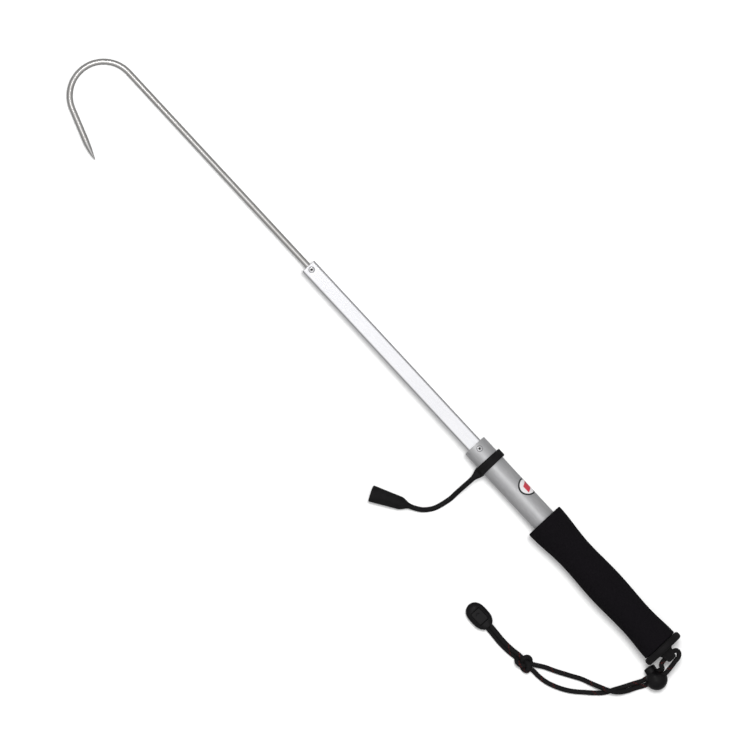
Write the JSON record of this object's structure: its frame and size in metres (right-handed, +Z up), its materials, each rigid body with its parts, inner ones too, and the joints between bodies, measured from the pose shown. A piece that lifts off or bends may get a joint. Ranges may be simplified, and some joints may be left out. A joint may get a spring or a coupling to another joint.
{
  "type": "telescopic boat hook",
  "caption": "Three-section telescopic landing hook: bent steel hook, square tube, round foam-gripped handle, rubber point guard, wrist lanyard with cord lock.",
  "frame": {"origin": "on the surface the tool lies on, below the middle of the box round the drawn-out tool without its lanyard, guard strap and guard sleeve", "axes": "+X along the tool from butt to hook, +Y to the side the hook's point is on, +Z up from the surface"},
  "size_m": [0.8513, 0.1438, 0.0476],
  "materials": {
    "polished_steel": "polished stainless rod",
    "bright_aluminium": "bright anodised square tube",
    "satin_aluminium": "satin grey anodised",
    "rivet_aluminium": "plain rivet",
    "eva_foam": "matt closed-cell foam",
    "black_rubber": "satin moulded rubber",
    "black_plastic": "satin moulded plastic",
    "nylon": "natural nylon",
    "label": "printed vinyl",
    "braided_cord": "braided polyester",
    "spring_steel": "drawn wire"
  },
  "bodies": {
    "handle": {"handle_tube": "satin_aluminium", "foam_grip": "eva_foam", "butt_cap": "black_rubber", "label": "label", "mouth_bush": "nylon", "mouth_rivet_top": "rivet_aluminium", "mouth_rivet_bottom": "rivet_aluminium", "cord_lock_body": "black_plastic", "cord_lock_spring": "spring_steel", "lanyard_lug_loop": "braided_cord", "wrist_strand_outer": "braided_cord", "wrist_strand_inner": "braided_cord", "lanyard_knot": "braided_cord", "lanyard_tail_lower": "braided_cord", "lanyard_tail_upper": "braided_cord", "cord_end_shell": "black_plastic", "cord_end_lid": "black_plastic"},
    "middle_section": {"middle_tube": "bright_aluminium", "middle_bush": "nylon", "middle_rivet_top": "rivet_aluminium", "middle_rivet_bottom": "rivet_aluminium", "middle_slider": "nylon", "middle_slider_pin": "spring_steel"},
    "hook_section": {"hook": "polished_steel", "hook_slider": "nylon", "hook_slider_pin": "spring_steel"},
    "point_guard": {"guard_ring": "black_rubber", "guard_strap": "black_rubber", "guard_sleeve": "black_rubber"},
    "lock_button": {"cord_lock_button": "black_plastic"}
  },
  "joints": [
    {"name": "middle_slide", "type": "slide", "parent": "handle", "child": "middle_section", "axis": [0.9996, 0, -0.0275], "range_m": [-0.208, 0]},
    {"name": "hook_slide", "type": "slide", "parent": "middle_section", "child": "hook_section", "axis": [0.9996, 0, -0.0275], "range_m": [-0.228, 0]},
    {"name": "guard_slide", "type": "slide", "parent": "handle", "child": "point_guard", "axis": [0.9996, 0, -0.0275], "range_m": [-0.072, 0.007]},
    {"name": "lock_button_press", "type": "slide", "parent": "handle", "child": "lock_button", "axis": [0.9848, -0.1736, 0], "range_m": [-0.0025, 0], "stiffness_N_per_m": 600, "springref_m": 0.003, "deforming": ["cord_lock_spring"]}
  ]
}
